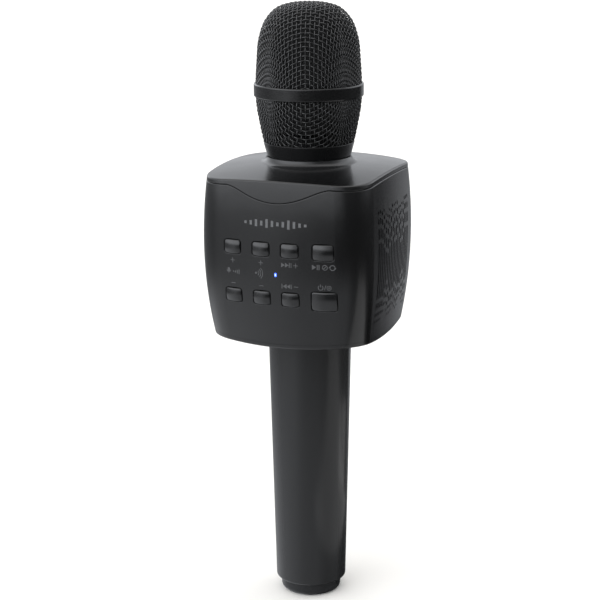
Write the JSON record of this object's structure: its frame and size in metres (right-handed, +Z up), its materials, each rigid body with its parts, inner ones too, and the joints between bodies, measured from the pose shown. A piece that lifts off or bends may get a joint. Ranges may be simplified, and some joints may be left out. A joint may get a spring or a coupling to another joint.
{
  "type": "karaoke microphone",
  "caption": "Hand-held karaoke microphone with a woven grille head, a square speaker box with a control panel and a tapered battery handle.",
  "frame": {"origin": "centre of the end cap's foot, on the microphone's axis", "axes": "+Z up the microphone's axis to the grille, -Y out of the control panel, +X to the right seen from the panel"},
  "size_m": [0.0844, 0.0919, 0.2873],
  "materials": {
    "shell_plastic": "satin moulded",
    "key_plastic": "semi-gloss moulded",
    "handle_paint": "satin soft-touch paint",
    "cap_paint": "satin paint",
    "mesh_steel": "black powder-coated woven wire",
    "band_paint": "satin paint",
    "collar_gloss": "gloss moulded",
    "foam": "open-cell foam",
    "steel_screws": "black-oxide",
    "switch_plastic": "moulded",
    "circuit_board": "solder mask",
    "led_blue": "emitting",
    "light_pipe": "clear, lit blue",
    "speaker_cloth": "fine woven",
    "socket_steel": "nickel plated",
    "socket_plastic": "moulded",
    "battery_wrap": "shrink wrap",
    "inner_plastic": "moulded",
    "contact_brass": "nickel-brass",
    "seal_rubber": "matt",
    "capsule_metal": "turned",
    "diaphragm_film": "metallised film",
    "lead_sheath": "soft sheath",
    "ribbon_film": "flexible film",
    "speaker_steel": "pressed steel",
    "magnet_ferrite": "ferrite and plated steel",
    "cone_paper": "pressed pulp",
    "coil_copper": "enamelled wire"
  },
  "bodies": {
    "handset": {"top_cover": "shell_plastic", "housing": "shell_plastic", "bottom_cover": "shell_plastic", "case_screws": "steel_screws", "tact_switches": "switch_plastic", "control_board": "circuit_board", "status_led": "led_blue", "led_light_pipe": "light_pipe", "speaker_cloths": "speaker_cloth", "speaker_screws": "steel_screws", "main_board": "circuit_board", "usb_port": "socket_steel", "audio_jack": "socket_plastic", "card_slot": "socket_steel", "board_screws": "steel_screws", "handle_tube": "handle_paint", "flange_screws": "steel_screws", "battery_holder": "inner_plastic", "battery_plate": "contact_brass", "battery_spring": "contact_brass", "capsule_post": "inner_plastic", "capsule_shock_mount": "seal_rubber", "capsule_housing": "capsule_metal", "capsule_diaphragm": "diaphragm_film", "capsule_grid": "capsule_metal", "microphone_lead": "lead_sheath", "speaker_leads": "lead_sheath", "battery_lead": "lead_sheath", "panel_ribbon": "ribbon_film", "left_speaker_frame": "speaker_steel", "left_speaker_magnet": "magnet_ferrite", "left_speaker_surround": "seal_rubber", "right_speaker_frame": "speaker_steel", "right_speaker_magnet": "magnet_ferrite", "right_speaker_surround": "seal_rubber"},
    "mic_volume_up_button": {"mic_volume_up_button": "key_plastic"},
    "echo_up_button": {"echo_up_button": "key_plastic"},
    "next_button": {"next_button": "key_plastic"},
    "play_button": {"play_button": "key_plastic"},
    "mic_volume_down_button": {"mic_volume_down_button": "key_plastic"},
    "echo_down_button": {"echo_down_button": "key_plastic"},
    "previous_button": {"previous_button": "key_plastic"},
    "power_button": {"power_button": "key_plastic"},
    "left_cone": {"left_speaker_cone": "cone_paper", "left_speaker_dust_cap": "cone_paper", "left_speaker_voice_coil": "coil_copper"},
    "right_cone": {"right_speaker_cone": "cone_paper", "right_speaker_dust_cap": "cone_paper", "right_speaker_voice_coil": "coil_copper"},
    "collar_ring": {"collar_seal": "seal_rubber"},
    "grille_head": {"upper_grille": "mesh_steel", "lower_grille": "mesh_steel", "grille_band": "band_paint", "grille_collar": "collar_gloss", "windscreen_foam": "foam"},
    "battery": {"battery_cell": "battery_wrap"},
    "end_cap": {"end_cap": "cap_paint", "end_cap_seal": "seal_rubber", "cap_contact": "contact_brass"}
  },
  "joints": [
    {"name": "mic_volume_up_press", "type": "slide", "parent": "handset", "child": "mic_volume_up_button", "axis": [0, 1, 0], "range_m": [0, 0.0005], "stiffness_N_per_m": 900, "springref_m": -0.0005},
    {"name": "echo_up_press", "type": "slide", "parent": "handset", "child": "echo_up_button", "axis": [0, 1, 0], "range_m": [0, 0.0005], "stiffness_N_per_m": 900, "springref_m": -0.0005},
    {"name": "next_press", "type": "slide", "parent": "handset", "child": "next_button", "axis": [0, 1, 0], "range_m": [0, 0.0005], "stiffness_N_per_m": 900, "springref_m": -0.0005},
    {"name": "play_press", "type": "slide", "parent": "handset", "child": "play_button", "axis": [0, 1, 0], "range_m": [0, 0.0005], "stiffness_N_per_m": 900, "springref_m": -0.0005},
    {"name": "mic_volume_down_press", "type": "slide", "parent": "handset", "child": "mic_volume_down_button", "axis": [0, 1, 0], "range_m": [0, 0.0005], "stiffness_N_per_m": 900, "springref_m": -0.0005},
    {"name": "echo_down_press", "type": "slide", "parent": "handset", "child": "echo_down_button", "axis": [0, 1, 0], "range_m": [0, 0.0005], "stiffness_N_per_m": 900, "springref_m": -0.0005},
    {"name": "previous_press", "type": "slide", "parent": "handset", "child": "previous_button", "axis": [0, 1, 0], "range_m": [0, 0.0005], "stiffness_N_per_m": 900, "springref_m": -0.0005},
    {"name": "power_press", "type": "slide", "parent": "handset", "child": "power_button", "axis": [0, 1, 0], "range_m": [0, 0.0005], "stiffness_N_per_m": 900, "springref_m": -0.0005},
    {"name": "left_cone_travel", "type": "slide", "parent": "handset", "child": "left_cone", "axis": [-1, 0, 0], "range_m": [-0.0008, 0.0008], "stiffness_N_per_m": 900, "deforming": ["left_speaker_surround"]},
    {"name": "right_cone_travel", "type": "slide", "parent": "handset", "child": "right_cone", "axis": [1, 0, 0], "range_m": [-0.0008, 0.0008], "stiffness_N_per_m": 900, "deforming": ["right_speaker_surround"]},
    {"name": "grille_lift", "type": "slide", "parent": "handset", "child": "collar_ring", "axis": [0, 0, 1], "range_m": [0, 0.006]},
    {"name": "grille_turn", "type": "hinge", "parent": "collar_ring", "child": "grille_head", "pos_m": [0, 0, 0.22], "axis": [0, 0, 1], "range_deg": [0, 1440]},
    {"name": "battery_drop", "type": "slide", "parent": "handset", "child": "battery", "axis": [0, 0, -1], "range_m": [0, 0.006], "deforming": ["battery_spring"]},
    {"name": "cap_turn", "type": "hinge", "parent": "battery", "child": "end_cap", "pos_m": [0, 0, 0.01], "axis": [0, 0, -1], "range_deg": [0, 1440]}
  ],
  "couplings": [
    {"joint": "grille_lift", "follows": "grille_turn", "m_per_rad": 0.00023873},
    {"joint": "battery_drop", "follows": "cap_turn", "m_per_rad": 0.00023873}
  ]
}
